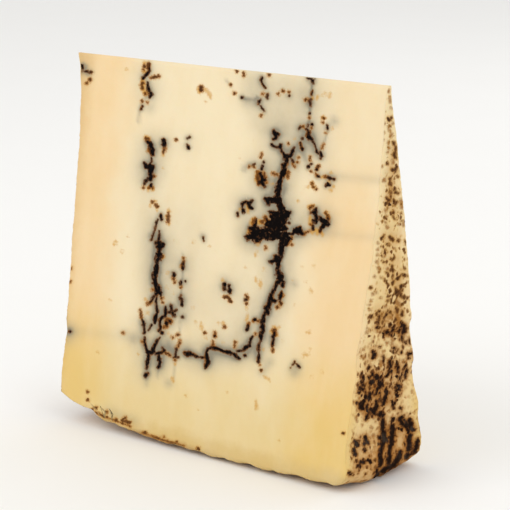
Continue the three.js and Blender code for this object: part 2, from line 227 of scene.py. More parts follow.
# Paler brown bits of truffle round the veins of the front cut face, written the same way
RUST_FRONT = strokes(
    (94.6, 412, 0.5, 104, 416.4, 0.6, 119, 422, 0.5, 131, 426.6, 0.5), (105, 412.6, 0.8), (123.6, 419, 0.9),
    (143, 432.6, 0.5, 158, 438.4, 0.6, 172, 442.6, 0.5, 184, 446, 0.5), (176.6, 442, 0.6), (164, 437, 0.7),
    (148.4, 64.6, 1.7, 148.2, 68, 1.6), (143.4, 69.6, 1.1), (141.4, 84, 1, 142.4, 88, 1.3),
    (144.5, 66.4, 1.9), (151, 78, 1, 154.5, 76.8, 1.5, 158.6, 76.2, 1.2), (142.6, 83, 1.5),
    (145.2, 93.8, 1.3), (142, 101, 1), (147, 102.6, 0.9), (146, 138.6, 1.4, 148.4, 139, 1.3),
    (149, 150.5, 1.3), (164.2, 149, 1.4, 163.4, 152.5, 0.9), (176.1, 139.9, 1.1), (154.2, 176.2, 1.2),
    (143, 187.6, 1.1), (152, 188, 1.3), (149.4, 187.6, 1.1), (152.6, 201.8, 1.4),
    (155.4, 204.6, 0.8, 157.4, 206.6, 1.3), (168.4, 213.4, 1, 168.2, 216.8, 1.5, 167.8, 221.6, 1.3),
    (161.8, 256.5, 1.7), (152.6, 289.8, 1), (151, 302.6, 0.9, 147.6, 303.8, 1.5), (161.8, 298.6, 1.3),
    (162.8, 302.4, 0.9), (173.4, 278.6, 1.2), (174.8, 282.4, 1), (181.4, 266.4, 0.8), (181, 287, 0.8),
    (183.4, 258.4, 1), (140.4, 310, 0.9, 141, 314.4, 1, 141.2, 317.6, 0.8), (142.2, 341.8, 0.9),
    (167.4, 320.6, 2.6, 170.2, 321.4, 2.2), (163.8, 327, 1.3, 166.8, 326.8, 1.1),
    (164.6, 352.6, 0.7, 168, 353.6, 0.8, 170, 355.6, 0.9), (178.4, 334.4, 1.1, 176.6, 335, 0.8),
    (180, 340, 0.7, 179.6, 343.4, 1, 177.8, 346.6, 0.9), (172.8, 337.2, 1.2), (175, 360, 0.9),
    (204.6, 333, 1.3), (224.4, 327, 1.4), (214.8, 332, 0.8, 214.8, 336, 1.3),
    (213, 341.6, 1, 213, 344.6, 1.1), (235.2, 342, 1, 234.6, 346.4, 1), (248.8, 323.4, 1.1), (253, 321, 0.9),
    (257.6, 321.2, 1.2), (255.6, 334.2, 1.2), (257.8, 173, 1.8, 258, 179, 2, 258.8, 184, 1.4),
    (263.8, 173.4, 1.2, 265, 178, 1.4), (266.4, 182, 1), (260.6, 156.6, 1, 261.6, 153.6, 0.7),
    (254.4, 166.6, 0.9), (249.4, 166.6, 0.8), (287.4, 172.6, 1.9, 287.8, 177.4, 1.2),
    (273, 173.4, 1.1, 275.4, 174.6, 0.7, 277.4, 174.8, 0.7), (294.4, 166.4, 1.1), (293, 164.4, 0.9),
    (298.4, 157.4, 0.9), (297.6, 162.2, 0.8), (288.4, 143.6, 0.8), (254.6, 219.4, 1.4, 252.6, 222.6, 1.2),
    (250, 231.4, 1.8), (265, 217, 1.6, 266, 220, 2), (262, 222, 1.6), (289.6, 240, 1.6, 288, 244, 1.4),
    (303.6, 234, 0.9, 306, 232.8, 0.8, 309, 230.8, 0.8), (292, 237.6, 1), (312.6, 206.4, 1.2, 310, 208, 1.2),
    (311, 224.4, 1), (325.4, 212.2, 0.9, 327, 215, 1.3, 328.2, 218, 1.2), (320, 232, 1),
    (265.8, 246.4, 1, 266, 248.4, 1), (291.8, 244.4, 1.1), (282.6, 296, 1.2), (280.6, 304, 1.5),
    (277.2, 307.4, 1.5), (246.4, 295.4, 1.2, 247.6, 298, 1.2), (246.6, 303.4, 1),
    (224.6, 297, 1.3, 227.4, 297, 1.3, 229.4, 299.6, 1.4, 231, 302, 1), (273.8, 330.6, 2.2, 275.4, 335, 1.4),
    (272.8, 349, 1, 272.6, 352, 0.8), (261, 370.4, 1.2), (259.8, 365.4, 0.6), (237, 71, 1.3),
    (243.8, 73.4, 1.3, 243.6, 75.8, 0.9), (269.2, 74.8, 1.5), (262.8, 93.8, 1.2), (234.6, 93.2, 1.2),
    (261.2, 115.6, 1.3), (283, 91, 1.2), (278.2, 94, 1), (288.8, 92, 0.8), (201, 87.6, 2, 201.4, 90.2, 1.8),
    (230.6, 84.8, 0.9), (305.8, 99.4, 1.3), (309.4, 117.6, 0.8), (311.4, 127.6, 0.9), (302.8, 126.4, 1.1),
    (323.6, 118, 1.3), (323, 122.6, 0.8), (326, 133, 0.8), (323.6, 144.6, 0.6, 322, 148, 0.7),
    (310.4, 156.6, 0.7, 310.4, 160.4, 0.7), (310.8, 171.4, 0.8), (318.6, 166, 1.4, 317.2, 168.4, 1.1),
    (315.6, 173, 0.8, 316.6, 175, 0.9), (325, 176.4, 1.2), (312, 183.4, 1.3), (313.8, 187, 1.2),
    (316, 189.2, 1), (90, 79.7, 1.4), (87, 83.3, 1.1), (71, 268, 1), (70, 281.6, 1.1), (123, 333, 1),
    (87.7, 392, 1), (87.7, 399.8, 1.1), (96.1, 407.7, 1.3), (92.2, 409.7, 1), (106.5, 412, 1.1),
    (115.9, 419.6, 1.2), (122.4, 420.6, 1.4, 129.3, 422.6, 1.5), (125.3, 417.6, 1), (145.6, 432.5, 1.1),
    (170.9, 442.4, 1.1), (198.1, 448.8, 1.6), (343.2, 433.4, 1.1),
)

# Amber and ochre specks in the paste of the front cut face
AMBER_FRONT = strokes(
    (144.4, 62.5, 1.6), (144.5, 71, 2), (142.5, 80, 1.8, 143, 84.5, 2.4, 143.6, 90, 2.2, 145.2, 94, 1.6),
    (147.5, 92.5, 1.6), (145.6, 136.6, 1.4, 148.4, 138, 1.6), (163.2, 155.6, 0.9),
    (148.6, 188.4, 1.7, 148.4, 191, 1.1), (152.8, 189.4, 1.5), (163.4, 168, 1.1), (150.4, 205.6, 1.2),
    (155.6, 201, 1), (157, 210.8, 0.9), (168.6, 210.4, 1.5), (166, 217, 1), (169, 224.4, 1),
    (193.7, 242, 1.4), (174, 241, 0.9), (163, 257, 1.4), (145.6, 299, 1.3), (167.4, 273, 1.2), (167, 287, 1),
    (173.6, 292.6, 1), (147.6, 312.8, 1.6), (193, 308, 1.5), (172.4, 377, 1.2), (172.8, 381.4, 1.2),
    (175, 364, 1), (138.4, 354, 1), (168.8, 332.8, 0.9), (201.6, 323.6, 1.2, 201.2, 328, 1.5),
    (206.4, 338, 1), (223.2, 322.6, 1.4), (218, 323, 1), (194.6, 322, 1.2), (223, 342.6, 0.9),
    (247.2, 315, 1, 247.4, 318, 1.1, 246, 321, 1), (257, 174, 1.6, 256.4, 181, 1.5), (254.4, 140, 0.8),
    (294.8, 138.4, 1.1), (272.6, 184, 1), (239.6, 157, 0.9), (248, 212, 1.2, 247.6, 206, 1.2), (240, 209, 1),
    (253, 219, 1.6, 250.6, 224, 1.4), (259, 222, 2.6), (248.4, 232, 1.4), (258, 244.6, 1.4),
    (309.6, 207, 1.8, 312.8, 205.6, 1.5), (310, 217, 1.4, 310.4, 224, 1.3), (326, 213, 1.6, 328, 217, 1.4),
    (312.6, 232.6, 1.6, 316.4, 229.6, 1.6, 317.6, 233.4, 1.6), (322.4, 233.4, 1.2, 322.6, 236.2, 0.8),
    (256.4, 252.4, 1.4, 255.4, 256, 1.3), (264, 269.4, 1.5), (256, 277, 0.9, 256, 281, 1.3),
    (260.8, 281, 1.1, 260.4, 284.6, 1.5, 259.8, 287.6, 1.2), (245.8, 267.4, 1.3), (313.6, 266, 1.5),
    (310.6, 290, 1.5, 311.4, 292.4, 1.5), (302, 266.8, 0.9), (292, 281.4, 1), (305.6, 281.4, 1.2),
    (294.6, 305, 1), (246.6, 308, 1), (223, 280, 1.5), (274.4, 326.8, 1.6),
    (271.4, 331.6, 1.6, 276.6, 335.4, 1.5), (276.6, 328.4, 1, 280, 326.6, 1),
    (306.8, 333, 1.2, 309.8, 331.8, 1.4), (304.6, 354.2, 1.4, 308, 355, 1), (302.4, 356.6, 0.9),
    (310, 349.6, 1.2), (312, 376.6, 1.3), (282.6, 341, 1), (264, 349.6, 1.2),
    (264, 376, 0.8, 267, 378, 0.8, 270.6, 381, 0.9), (198.4, 89, 1.8, 199.6, 92.6, 1.3),
    (205, 89.4, 1.4, 209, 93, 1.6, 211, 97.6, 1.4), (205.6, 102, 1.1), (317.4, 96.6, 1.2, 316.4, 99, 1),
    (322.4, 95.6, 1.2), (325, 93.2, 0.9), (329.8, 94, 1.3, 329.4, 96.6, 1.4), (312.8, 98, 1.3),
    (332.4, 128, 1.3), (323.4, 117.6, 1.9), (328.6, 181.6, 1.3), (331, 190.4, 1.9), (333.6, 187, 1.3),
    (306, 188, 1.3), (308.6, 186.4, 1), (312, 183.4, 1.9), (314, 187.4, 1.7), (322, 177.2, 1.2),
    (331.4, 172.6, 1), (298, 201.6, 1.4), (116, 242, 1.8, 114, 244, 1.4), (122, 251.5, 1.6), (97.8, 352, 1.2),
    (126.3, 69, 1.2), (226.4, 392.5, 1.2), (256, 400, 0.9, 256.6, 409, 1.2), (278.9, 441, 1.2), (186, 396, 1),
    (199, 409, 1), (322.4, 371.7, 1.2), (209.6, 246.6, 1), (128, 236, 1), (110, 300, 0.9),
)

# Soft grey stains of the front cut face, and painted shade under a small chip and along creases: strength,
# reach and the points that it runs through, in pixels of the photograph
STAINS_AND_SHADE_FRONT = (
    (0.5, 1.8, ((82.6, 63.6), (86.6, 66), (83.6, 71))), (0.3, 2.2, ((86, 72), (91, 79))),
    (0.25, 6, ((108, 411), (134, 421))), (0.35, 6, ((133, 339),)), (0.3, 8, ((160, 346), (186, 347))),
    (0.45, 5, ((169, 383),)), (0.5, 6, ((294, 372),)), (0.5, 5, ((334.4, 121),)),
    (0.35, 4, ((294.6, 283.7),)), (0.5, 3.5, ((248.7, 165), (244, 169))), (0.35, 4, ((203, 236),)),
    (0.25, 5, ((123, 333),)), (0.5, 11, ((66, 333),)), (0.4, 4, ((68, 331),)),
    # Painted shadow under a small chip: the strong crescent that ends this line and the patch that starts the
    # next
    (0.12, 6, ((70, 331), (140, 338))), (0.75, 1.8, ((241.5, 97.6), (248.7, 99.8), (257, 98.2))),
    (0.3, 4, ((246, 103), (256, 103))), (0.5, 2, ((282.9, 90),)), (0.45, 1.6, ((226, 80), (231, 86))),
    (0.2, 5, ((224, 279),)), (0.16, 9, ((184, 262), (184, 320))), (0.4, 5, ((262, 372), (270, 362))),
    (0.25, 6, ((150, 108),)), (0.3, 7, ((214, 354), (255, 352))), (0.2, 12, ((258, 160), (272, 186))),
    (0.3, 4, ((292, 158), (296, 166))), (0.15, 20, ((262, 92), (318, 100))),
    # Painted shade along creases: the band that ends this line and both bands of the next line
    (0.2, 16, ((276, 122), (316, 140))), (0.2, 5, ((318, 175), (386, 181))),
    (0.14, 5, ((300, 232), (388, 239))), (0.5, 3, ((386, 173), (392, 176))),
    (0.3, 3, ((148, 365), (146, 385))), (0.2, 6, ((165, 355), (160, 372))),
    (0.3, 2.5, ((287, 186), (285, 192))), (0.35, 3, ((300, 147), (306, 160))),
    (0.12, 24, ((185, 222), (190, 290), (230, 335))), (0.14, 16, ((150, 205), (152, 240))),
    (0.1, 18, ((245, 270), (244, 330))), (0.15, 12, ((250, 78), (258, 125))),
    (0.14, 12, ((284, 82), (282, 125))), (0.2, 11, ((304, 95), (306, 150))),
    (0.5, 1.5, ((312, 84), (311, 96), (310.4, 106), (309.4, 118), (308, 128))),
    (0.3, 4, ((168, 340), (170, 352))), (0.4, 1.8, ((146, 97), (142, 104), (139.4, 112), (138.6, 122))),
    (0.35, 1.3, ((179.8, 322), (180, 345))), (0.3, 1.3, ((175, 358), (173.6, 377))),
    (0.4, 1.3, ((318, 152), (322, 146), (325, 140), (328, 130))), (0.3, 1.3, ((159, 368), (157, 376))),
    (0.35, 1.4, ((183, 254), (182.6, 275), (181, 295))),
)

# Dark powder on the right rind face, and the paler brown spots between it, written like the strokes
RIND_DARK = strokes(
    (388, 118, 1.2, 389.4, 120, 1.7), (391.6, 117.6, 1.3), (393.6, 142.4, 1.5, 395.4, 147, 1, 396, 151, 1.3),
    (396, 151, 1.3, 394.6, 155, 1.9, 396.2, 158.6, 1.1), (387.6, 163.6, 1.7),
    (397.4, 167, 1.1, 395.4, 170, 1.9, 392.4, 169.6, 1.2), (395, 173, 1.1), (397.6, 176.6, 1.3),
    (390.2, 179, 1.7), (390.8, 183.6, 2.2), (395, 188.5, 1.4), (390, 192, 1.5),
    (396, 192.6, 1.7, 398.6, 193, 1.5), (386.6, 198, 1.4, 389.6, 200.6, 1.9),
    (397, 202, 1.5, 395.4, 205, 1.2), (386.8, 203.4, 1.8), (401.6, 204, 1), (393, 216, 0.8, 395, 219, 1),
    (401.6, 213, 1), (402.6, 221, 1), (382.4, 238.4, 1.9, 384.6, 235.6, 1), (390.6, 237, 1.7, 393, 240, 1.7),
    (398.6, 240.6, 1.9), (405.4, 241, 1.2, 406.4, 244, 1.3), (387.4, 244.4, 1.4, 389.6, 245.4, 0.9),
    (385.4, 249.6, 1, 385.2, 252, 1), (391, 258.6, 1.1, 392.4, 260.4, 1.3, 394.4, 258, 1), (384, 262, 1.3),
    (392.4, 265.6, 1.2, 392.6, 269, 1.3), (386.8, 272.6, 1.4), (393.4, 274, 0.9, 392.4, 278, 1.2),
    (405, 268.6, 1.2), (409, 271.6, 1), (402.6, 274.6, 1.6, 405.6, 275, 1), (407.4, 276, 1),
    (398.6, 278.5, 1.8, 400, 276.4, 1), (393, 283, 2, 394.4, 281, 1.2), (401.6, 285.6, 1.4),
    (396, 288, 1, 397, 291, 1.8, 399.4, 292.4, 1.9), (400.6, 295.4, 1.4, 402.4, 297.4, 1.4), (407, 298, 1.3),
    (371, 287.8, 1.7), (390, 296.2, 1.2), (388, 301, 1.4), (396.6, 308, 1.3, 397, 311, 1.2),
    (402, 311, 1.2, 402.4, 315, 1.4), (371.2, 316.8, 2.2), (379.6, 311.4, 1.4),
    (379, 316, 1.6, 379.4, 320, 1.2, 378, 322.6, 1.4), (377.4, 327.4, 2, 379.6, 328, 1.4),
    (386.6, 314, 1.4, 387.4, 316.4, 1.2), (388.4, 310.6, 1.1, 391, 312.6, 1.2), (396.4, 319.4, 1.5),
    (402, 323, 1.4, 404.6, 326, 2.2, 404, 332, 2.4), (387.8, 331, 1.4, 386, 333, 1.8, 390, 333.6, 1.8),
    (392.6, 328, 1.2, 393, 331.6, 1.5), (398.6, 331.6, 1.7, 400.4, 330, 1.2), (402, 337, 1.6, 403, 340, 1.2),
    (410.6, 340, 1.3, 410.2, 343, 1.2), (405.5, 342.5, 1.2), (380, 347, 0.9), (394.7, 348, 1.5),
    (396.6, 352, 1.2), (401.5, 352.5, 1), (373, 351.5, 1.2, 375.4, 354, 1.9, 372.6, 357.6, 1.6),
    (383.6, 356.5, 1.3, 384, 358.6, 1.2), (408.6, 354, 1.6, 412.4, 353, 1.3), (409, 358, 1.6),
    (389.6, 361, 1.6, 391, 365.5, 1.9, 390.6, 368, 1.5), (393.4, 362, 1),
    (390, 372, 1.5, 387.6, 376, 1.3, 386, 377, 1.2), (397.8, 364, 1.1, 398, 369, 1.5, 398.4, 372, 1.4),
    (400.4, 377, 0.9, 400.6, 380, 0.9), (405, 367, 1, 407.6, 371, 1.4, 405.6, 375, 1.3, 405.6, 378, 0.9),
    (370, 366.5, 1.2, 369, 369, 0.7), (370, 376.5, 1.7),
    (377.4, 374.6, 1.5, 376.6, 376, 2.2, 379.6, 378.6, 1.8), (370.6, 382.5, 2, 374, 381.5, 2),
    (380, 383, 2.4, 380.6, 387, 2.2, 378, 389.6, 1.6), (383, 386, 1.5), (362, 382, 1.4, 364.6, 386.5, 1.7),
    (360.6, 388, 1.9, 363.6, 390, 1.5), (359.4, 392.6, 1.6), (370.6, 388.6, 1.3), (387.8, 384, 1.3),
    (386.8, 389, 1.2, 387, 393.5, 1.6, 385.6, 399, 2, 383.4, 404, 1.7), (398, 385.5, 1.8, 401, 386, 1.6),
    (396.6, 390, 1.8, 400, 390, 1.5), (396, 393.6, 1.2, 398.6, 395.6, 1.4),
    (370, 393, 1.6, 369, 397, 2.6, 370, 400, 1.8), (375.4, 395.6, 1.4, 378, 391, 1.3), (380.6, 393.6, 1.3),
    (357.6, 403.4, 1.5), (364, 403, 1.6, 361.4, 407.6, 2.4, 365.6, 409.6, 1.2),
    (377, 402, 1.7, 376, 405.5, 1.3), (380.6, 399, 1.4, 382, 402, 1.2),
    (371, 409, 1.8, 374, 411, 2.4, 377.6, 407, 1.9), (374, 411, 2.4, 375.6, 414, 1.7),
    (369.6, 413, 1.2, 367.6, 416.6, 1.2, 366.4, 419.6, 1),
    (392.6, 401, 1.1, 393.4, 405, 1.4, 393.4, 408.6, 1), (401, 408.3, 1.4),
    (379.6, 415, 1.6, 382, 413.5, 2.2, 383.6, 415.6, 1.8),
    (383.4, 420, 1.5, 382.8, 425, 1.5, 383.4, 430, 1.6, 384.4, 435, 2.2, 385.6, 440, 2.2),
    (385.6, 440, 2.2, 383, 443.6, 2.2, 382, 449, 1.6, 380.4, 455, 1.2, 381, 459.4, 2, 381, 465, 2),
    (380.4, 438, 1.6), (393, 418.6, 1.3, 392.6, 421.6, 0.8), (392.6, 426, 2.2, 393.4, 431, 2.4, 392, 437, 2),
    (392, 437, 2, 392.4, 441, 1.8, 391, 447, 1.6, 390, 452, 1.5, 389.6, 458, 1.7, 388.4, 462.6, 1.5),
    (402.6, 416.6, 1.2, 400.6, 419, 1.8, 401.6, 423, 1.4, 404.6, 425.4, 2.2, 407.6, 427.4, 0.9),
    (410, 420, 1.6, 411, 423, 2, 411.6, 428, 2.3, 414, 430, 1.4),
    (410, 436, 2, 409.6, 445, 2.2, 409, 450, 1.8), (418, 440, 1.4, 417, 447, 1.6, 414.6, 452, 1.4),
    (408.6, 455, 2, 406.6, 458, 1.5),
    (400.6, 452, 1.8, 399.6, 455, 2.2, 398, 460, 2.2, 395.6, 464, 2, 390, 467.6, 2.2, 386, 469, 2.2,
    383, 472, 2), (377, 470.6, 1.6, 378, 474, 1.6, 375.6, 478, 1.3),
    (365.4, 437, 1.6, 366.8, 439.6, 1.6, 368, 442.6, 1.4), (364, 443.6, 1.3),
    (356, 441.6, 1.5, 357.4, 444.6, 2.1), (355, 449, 1.3, 354.4, 452, 1.3, 355.6, 455, 1.3), (365, 450, 1.6),
    (361.6, 462, 1.3, 364, 462.6, 1.6), (368, 460, 0.9, 371, 461.8, 1.6), (359.6, 466.5, 1.4),
    (350.2, 473.6, 1.7), (343.2, 433.4, 1.2),
)
RIND_BROWN = strokes(
    (388.2, 91, 1.4), (390, 98, 0.8, 390, 102, 0.8), (391.6, 108, 0.7), (389, 126, 1), (389.4, 130.2, 1.1),
    (392, 134, 0.9, 391, 136.4, 0.9), (384.6, 123.4, 0.8), (393, 123.6, 0.8), (388.4, 142.6, 0.8),
    (389, 148, 0.9), (387.6, 152.6, 0.8), (393.6, 160, 0.9, 393.8, 163, 1), (382.8, 166.6, 0.7),
    (384.6, 180, 1.6), (384, 139.6, 0.7), (383.6, 132.6, 1), (400.8, 200, 1, 402, 208, 1), (388.4, 207, 0.8),
    (386, 210.5, 1.3), (394, 212, 0.9), (386.6, 216.6, 1.3), (400, 218, 0.9), (403.4, 225, 1),
    (383, 221, 0.8), (386, 222.4, 0.7), (387.4, 227.4, 1.2), (399, 224, 0.8), (384.6, 256.4, 0.9),
    (394.6, 248.5, 0.8), (376.8, 262, 1.2), (378.6, 268, 1.4), (388, 269, 1.1), (378, 243, 0.8),
    (378, 249.6, 0.8), (377.6, 255, 0.7), (374.6, 276.6, 0.9), (379.6, 272, 0.7), (381.6, 277.5, 0.8),
    (408.6, 282, 0.8), (372.8, 294, 1.2), (376, 292.4, 0.8), (380.8, 298, 1), (371.2, 301, 1.1),
    (369.6, 305, 0.7), (370.6, 310.4, 0.8), (386, 306.6, 1.1), (397, 302, 1.8, 401, 306, 1.4),
    (382, 313.6, 0.9), (391, 318, 1.2), (386, 321.6, 0.8), (389.6, 323.4, 0.9),
    (398, 315, 1.4, 399, 324, 1.6), (411, 315, 1), (367.4, 328.6, 0.8), (367, 332.6, 1.1), (378, 331.6, 1.2),
    (387, 343, 1.3), (392, 340, 0.7, 392, 345, 0.7), (384, 351, 0.7), (363.5, 349.5, 0.9), (376, 346, 0.6),
    (364, 358, 1.3), (362, 356, 1), (380.6, 361, 1.1, 382, 364, 1.5, 381, 366, 1),
    (403, 361, 1.2, 405.6, 361.5, 1), (362, 377, 1.4), (382, 372, 0.8), (391.6, 380, 0.7), (375, 387, 1.4),
    (391, 393, 1), (359.6, 398.4, 1.2), (353.6, 402.2, 1.2), (392.8, 397.6, 1), (373.6, 418, 0.9),
    (390, 411.8, 0.7), (412, 391, 0.7), (356, 417, 0.8, 357, 421, 0.9), (397, 422.6, 1), (352, 459, 1),
    (350.4, 384, 0.8), (350.6, 395, 0.7), (373.6, 435.6, 1.4), (371.4, 427.6, 1.1), (376, 422, 0.7),
    (374.6, 447, 0.7), (370, 456, 0.6), (371.6, 452, 0.6), (358.6, 471, 0.6), (396, 399, 0.7),
    (388, 426, 0.8, 388, 436, 0.9),
)


# Pale places of the right rind face that the loose powder leaves bare
RIND_BARE = strokes(
    (391, 104, 5, 391, 111, 5), (386, 229, 4.5, 402, 231, 4), (380, 345, 4.5, 398, 342, 3),
    (376, 280, 6, 379, 302, 5), (379, 244, 2, 374, 288, 4), (398, 252, 3, 401, 282, 2),
    (406.4, 390, 3.6, 408, 406, 5), (374, 426, 4.4, 372, 434, 3), (356, 424, 6, 360, 432, 4),
    (402, 434, 3, 400, 444, 3),
)

# Where the loose powder lies thickest
RIND_THICK = strokes(
    (394, 303, 2, 397, 338, 3), (385, 318, 3, 386, 334, 3), (362, 376, 6, 364, 408, 6),
    (374, 372, 3, 384, 398, 4), (392, 362, 2, 396, 384, 4), (402, 424, 3, 410, 452, 3),
    (390, 186, 1, 393, 212, 2),
)


def front_view_axes():
    """Directions to the right, up and back of the photograph's camera."""
    level = math.cos(CAMERA_ELEVATION)
    back = Vector((
        math.sin(CAMERA_AZIMUTH) * level,
        -math.cos(CAMERA_AZIMUTH) * level,
        math.sin(CAMERA_ELEVATION),
    ))
    right = Vector((math.cos(CAMERA_AZIMUTH), math.sin(CAMERA_AZIMUTH), 0))
    return right, back.cross(right), back


def in_photograph(places):
    """Where points of the row frame lie in the photograph, in its pixels."""
    right, up, back = (np.array(axis) for axis in front_view_axes())
    depth = CAMERA_DISTANCE - places @ back
    across = PHOTO_SIDE / 2 + FOCAL_PIXELS * (places @ right - CAMERA_ASIDE) / depth
    down = PHOTO_SIDE / 2 - FOCAL_PIXELS * (places @ up - CAMERA_RAISED) / depth
    return np.stack([across, down], axis=1)


def smoothstep(low, high, value):
    """0 below low, 1 above high, and a smooth turn between them."""
    share = np.clip((value - low) / (high - low), 0, 1)
    return share * share * (3 - 2 * share)


def distance_to(strokes, spots):
    """Distance from flat spots to the nearest stroke's edge, negative inside it, and its half width there."""
    nearest = np.full(len(spots), np.inf)
    heft = np.zeros(len(spots))
    for stroke in strokes:
        for start, end in zip(stroke, stroke[1:] or stroke):
            run = np.subtract(end[:2], start[:2])
            offset = spots - start[:2]
            along = np.clip(offset @ run / max(run @ run, 1e-12), 0, 1)
            radius = start[2] + (end[2] - start[2]) * along
            gap = np.linalg.norm(offset - along[:, None] * run, axis=1) - radius
            closer = gap < nearest
            nearest[closer] = gap[closer]
            heft[closer] = radius[closer]
    return nearest, heft


# The sides that the photograph doesn't show take the finish of the shown ones, moved about: how far, the
# length of the swirls, and where they start
SWIRLS_ALONG = ((4.5 * MM, 13 * MM, 0.4), (2.2 * MM, 6 * MM, 2.0))
SWIRLS_UP = ((3.6 * MM, 15 * MM, 1.1), (1.8 * MM, 7 * MM, 0.2))


def shown_twins(places, facings):
    """The shown place whose finish each place has: veins run through, and the rinds are alike."""
    along = sum(reach * np.sin(places[:, 2] / wave + start) for reach, wave, start in SWIRLS_ALONG)
    up = sum(reach * np.sin(places[:, 0] / wave + start) for reach, wave, start in SWIRLS_UP)
    twins = places.copy()
    back = facings[:, 1] > FACING
    twins[back] = places[back] * (1, -1, 1) + np.stack([along, 0 * along, up], axis=1)[back]
    left = facings[:, 0] < -FACING
    twins[left] = places[left] * (-1, -1, 1) + np.stack([0 * along, 0 * along, along], axis=1)[left]
    return in_photograph(twins)


def tone(code):
    """A colour written in six hexadecimal digits, as the linear values that materials use."""
    parts = [int(code[at:at + 2], 16) / 255 for at in (0, 2, 4)]
    return [part / 12.92 if part <= 0.04045 else ((part + 0.055) / 1.055) ** 2.4 for part in parts]


def colour(name, code, description):
    """A colour setting."""
    return FloatVectorProperty(
        name=name, description=description, default=tone(code), size=3, min=0, max=1, subtype="COLOR"
    )


def length(name, millimetres, description):
    """A length setting."""
    return FloatProperty(name=name, description=description, default=millimetres * MM, min=0, unit="LENGTH")


def power(name, watts, description):
    """A light's power setting."""
    return FloatProperty(name=name, description=description, default=watts, min=0, unit="POWER")


class CheeseSizes(PropertyGroup):
    """Sizes of the wedge's fine surface."""

    surface_step: length("Surface step", 1.2, "Mesh spacing of the plain paste")
    vein_reach: length("Vein reach", 0.68, "How far round the veins the mesh is made finest")
    vein_depth: length("Vein depth", 0.28, "How far the truffle lies below the cut face")
    paste_grain: length("Paste grain", 0.07, "Height of the grain of the cut paste")
    rind_knobs: length("Rind knobs", 0.55, "Height of the rind's small knobs")
    rind_pits: length("Rind pits", 0.4, "Depth of the rind under its dark powder")


class CheeseColours(PropertyGroup):
    """Colours of the paste, the truffle and the rind."""

    cream: colour("Cream", "e7d6b2", "Paste in the middle of the wedge")
    peach: colour("Peach", "e7ca9b", "Paste in the bands near the flat rind faces")
    butter: colour("Butter", "dac080", "Paste in the lower part")
    olive: colour("Olive", "d2b67a", "Paste in the last millimetres above the rim")
    # This grey also paints the shade under a small chip and along creases
    stain_and_shade: colour("Stain", "8d8674", "Grey paste beside the veins")
    truffle: colour("Truffle", "080302", "Dark truffle")
    rust: colour("Rust", "5a3214", "Brown truffle")
    fringe: colour("Fringe", "a46a26", "Orange-brown edge of the truffle and of the powder")
    amber: colour("Amber", "c6923a", "Amber specks")
    rind_buff: colour("Rind buff", "e3c891", "Bare rind near the top")
    rind_tan: colour("Rind tan", "c0925a", "Bare rind near the rim and under the powder")
    umber: colour("Umber", "92602c", "Brown spots of the rind")
    powder: colour("Powder", "1f1109", "Dark powder on the rind")
    mould: colour("Mould", "6a5f52", "Greyish bloom on the powder near the rim")


class StudioSettings(PropertyGroup):
    """The plain floor and the soft light."""

    floor_side: length("Floor side", 4000, "Side of the square floor")
    floor_colour: colour("Floor", "f4f3f0", "Colour of the floor")
    key_power: power("Key", 3.0, "Power of the main light")
    fill_power: power("Fill", 1.5, "Power of the side and back lights")
    sky: FloatProperty(name="Sky", description="Strength of the even light", default=0.88, min=0)


class Wire:
    """A socket of a material's node tree. Arithmetic on it adds Math nodes."""

    def __init__(self, tree, socket):
        self.tree = tree
        self.socket = socket

    def join(self, operation, *values):
        return add_node(self.tree, "ShaderNodeMath", {"operation": operation}, dict(enumerate(values)))

    def __add__(self, other):
        return self.join("ADD", self, other)

    def __radd__(self, other):
        return self.join("ADD", other, self)

    def __sub__(self, other):
        return self.join("SUBTRACT", self, other)

    def __rsub__(self, other):
        return self.join("SUBTRACT", other, self)

    def __mul__(self, other):
        return self.join("MULTIPLY", self, other)

    def __rmul__(self, other):
        return self.join("MULTIPLY", other, self)

    def least(self, other):
        return self.join("MINIMUM", self, other)

    def most(self, other):
        return self.join("MAXIMUM", self, other)

    def size(self):
        return self.join("ABSOLUTE", self)

    def also(self, name):
        """Another output of the same node."""
        return Wire(self.tree, self.socket.node.outputs[name])


def add_node(tree, kind, settings, inputs, output=0):
    """Adds a node with its settings first and then its inputs, and returns one of its outputs."""
    node = tree.nodes.new(kind)
    for name, value in settings.items():
        setattr(node, name, value)
    for name, value in inputs.items():
        if isinstance(value, Wire):
            tree.links.new(value.socket, node.inputs[name])
        else:
            node.inputs[name].default_value = value
    return Wire(tree, node.outputs[output])


# How fast a grain of powder grows as its cell's share rises over its chance, in cells
GRAIN_GROWTH = 1.5


